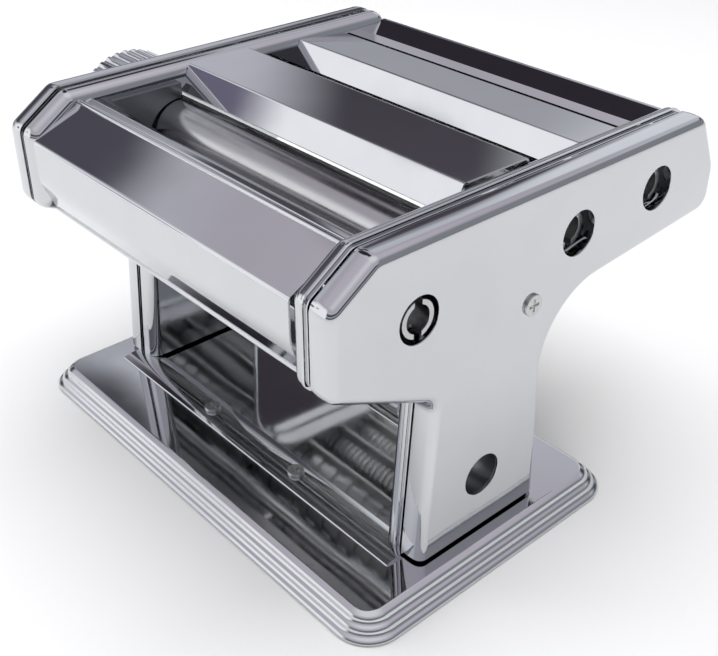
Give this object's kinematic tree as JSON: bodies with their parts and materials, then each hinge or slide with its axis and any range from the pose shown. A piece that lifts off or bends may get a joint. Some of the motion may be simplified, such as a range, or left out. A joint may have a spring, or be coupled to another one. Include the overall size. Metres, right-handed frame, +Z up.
{
  "type": "pasta machine",
  "caption": "Hand cranked pasta machine: two smooth rollers with a stepped thickness knob and two fixed ribbed cutter pairs in a pressed, chromed housing on a base plate.",
  "frame": {"origin": "under the middle of the part's bounding box, on the surface that the feet stand on", "axes": "+X along the rollers towards the crank sockets, +Y to the back, +Z up"},
  "size_m": [0.2398, 0.205, 0.1506],
  "materials": {
    "chrome": "polished chrome plate",
    "steel": "turned and rolled steel",
    "dark_steel": "cut steel, slightly oiled",
    "bronze": "sintered bronze",
    "rubber": "moulded"
  },
  "bodies": {
    "housing": {"base_plate": "chrome", "rubber_feet": "rubber", "front_cross_strap": "chrome", "rear_cross_strap": "chrome", "strap_screws": "steel", "strap_nuts": "steel", "foot_screws": "steel", "left_frame": "chrome", "right_frame": "chrome", "left_cover": "chrome", "right_cover": "chrome", "cover_standoffs": "steel", "cover_screws": "steel", "front_cover": "chrome", "front_feed_plate": "chrome", "middle_guide": "chrome", "rear_guide": "chrome", "back_cover": "chrome", "tie_rods": "steel", "tie_rod_screws": "steel", "left_dough_guard": "dark_steel", "right_dough_guard": "dark_steel", "front_scraper": "steel", "rear_scraper": "steel", "wide_combs": "steel", "narrow_combs": "steel", "clamp_tube": "dark_steel", "drive_bushes": "bronze", "cutter_bushes": "bronze", "axle_sleeve": "bronze", "axle_bridge": "steel", "bridge_screws": "steel", "index_plate": "steel", "index_plate_screws": "steel"},
    "drive_roller": {"drive_roller": "chrome", "drive_gear": "dark_steel"},
    "eccentric_axle": {"eccentric_axle": "steel", "knob_washer": "steel", "knob_screw": "steel", "knob_spring": "steel"},
    "float_bushes": {"float_bushes": "bronze"},
    "adjustable_roller": {"adjustable_roller": "chrome", "adjustable_gear": "dark_steel"},
    "thickness_knob": {"thickness_knob": "chrome", "index_pin": "steel"},
    "wide_drive": {"wide_drive_cutter": "steel", "wide_drive_gear": "dark_steel"},
    "wide_driven": {"wide_driven_cutter": "steel", "wide_driven_gear": "dark_steel"},
    "narrow_drive": {"narrow_drive_cutter": "steel", "narrow_drive_gear": "dark_steel"},
    "narrow_driven": {"narrow_driven_cutter": "steel", "narrow_driven_gear": "dark_steel"}
  },
  "joints": [
    {"name": "drive_roller_turn", "type": "hinge", "parent": "housing", "child": "drive_roller", "pos_m": [0.00345, -0.06466, 0.1215], "axis": [1, 0, 0], "continuous": true},
    {"name": "thickness_turn", "type": "hinge", "parent": "housing", "child": "eccentric_axle", "pos_m": [0.00345, -0.03365, 0.12074], "axis": [1, 0, 0], "range_deg": [-72, 72]},
    {"name": "float_turn", "type": "hinge", "parent": "eccentric_axle", "child": "float_bushes", "pos_m": [0.00345, -0.03365, 0.12224], "axis": [1, 0, 0], "range_deg": [-72, 72]},
    {"name": "adjustable_roller_turn", "type": "hinge", "parent": "float_bushes", "child": "adjustable_roller", "pos_m": [0.00345, -0.03365, 0.12224], "axis": [1, 0, 0], "continuous": true},
    {"name": "knob_pull", "type": "slide", "parent": "eccentric_axle", "child": "thickness_knob", "axis": [-1, 0, 0], "range_m": [0, 0.004], "stiffness_N_per_m": 400, "springref_m": -0.005},
    {"name": "wide_drive_turn", "type": "hinge", "parent": "housing", "child": "wide_drive", "pos_m": [0.00345, 0.01554, 0.1252], "axis": [1, 0, 0], "continuous": true},
    {"name": "wide_driven_turn", "type": "hinge", "parent": "housing", "child": "wide_driven", "pos_m": [0.00345, 0.03555, 0.1252], "axis": [1, 0, 0], "continuous": true},
    {"name": "narrow_drive_turn", "type": "hinge", "parent": "housing", "child": "narrow_drive", "pos_m": [0.00345, 0.06225, 0.1285], "axis": [1, 0, 0], "continuous": true},
    {"name": "narrow_driven_turn", "type": "hinge", "parent": "housing", "child": "narrow_driven", "pos_m": [0.00345, 0.08224, 0.1285], "axis": [1, 0, 0], "continuous": true}
  ],
  "couplings": [
    {"joint": "adjustable_roller_turn", "follows": "drive_roller_turn", "ratio": -1},
    {"joint": "float_turn", "follows": "thickness_turn", "ratio": -1},
    {"joint": "wide_driven_turn", "follows": "wide_drive_turn", "ratio": -1},
    {"joint": "narrow_driven_turn", "follows": "narrow_drive_turn", "ratio": -1}
  ]
}
